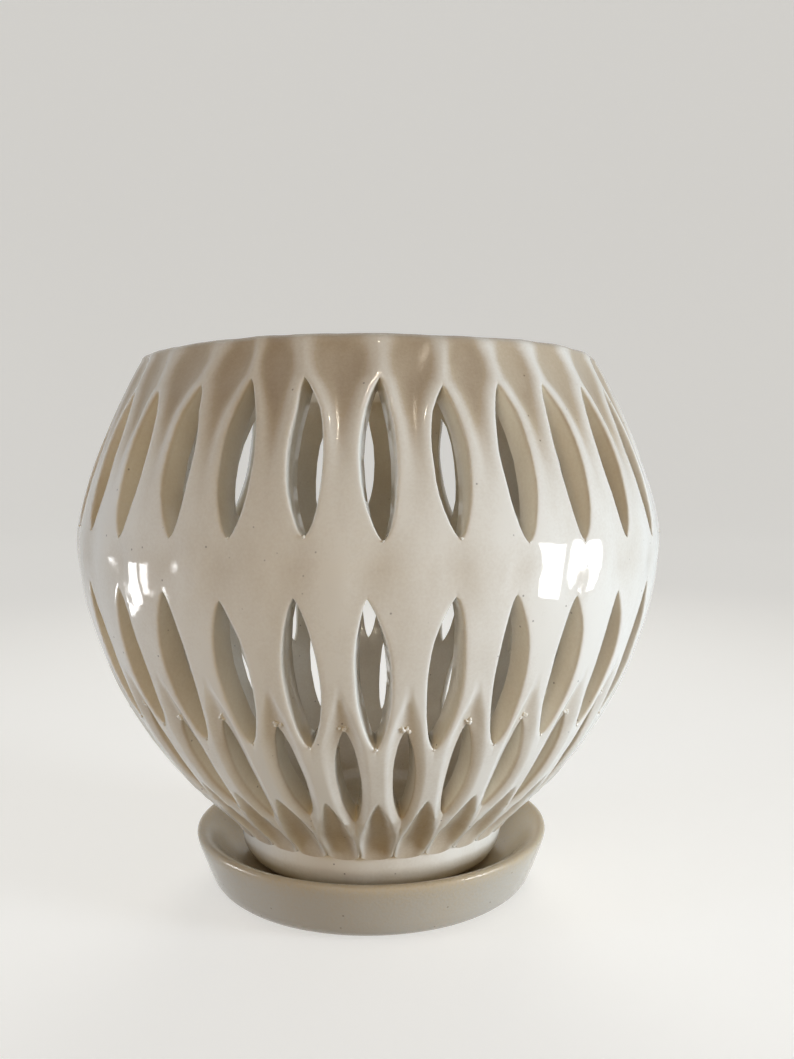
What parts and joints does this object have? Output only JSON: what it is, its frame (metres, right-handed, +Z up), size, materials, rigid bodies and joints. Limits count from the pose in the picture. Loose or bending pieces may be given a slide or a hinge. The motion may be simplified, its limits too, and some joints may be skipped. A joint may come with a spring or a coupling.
{
  "type": "orchid pot",
  "caption": "Round wheel-thrown orchid pot with a carved, pierced lattice wall, standing on a turned foot in a shallow drip saucer; the pot lifts out of the saucer.",
  "frame": {"origin": "centre of the saucer's flat underside, on the surface that it stands on", "axes": "+Z up along the axis of the pot; -Y is the side seen in the picture, with an opening of each aligned row on it"},
  "size_m": [0.165, 0.165, 0.1517],
  "materials": {
    "pot_glaze": "glossy cream glaze over buff stoneware, thinner and tan on the carved and cut faces, with sparse iron specks",
    "saucer_glaze": "satin cream glaze with a speckled lip and a bare, flat underside"
  },
  "bodies": {
    "saucer": {"saucer": "saucer_glaze"},
    "pot": {"pot": "pot_glaze"}
  },
  "joints": [
    {"name": "pot_lift", "type": "slide", "parent": "saucer", "child": "pot", "axis": [0, 0, 1], "range_m": [0, 0.06]}
  ]
}
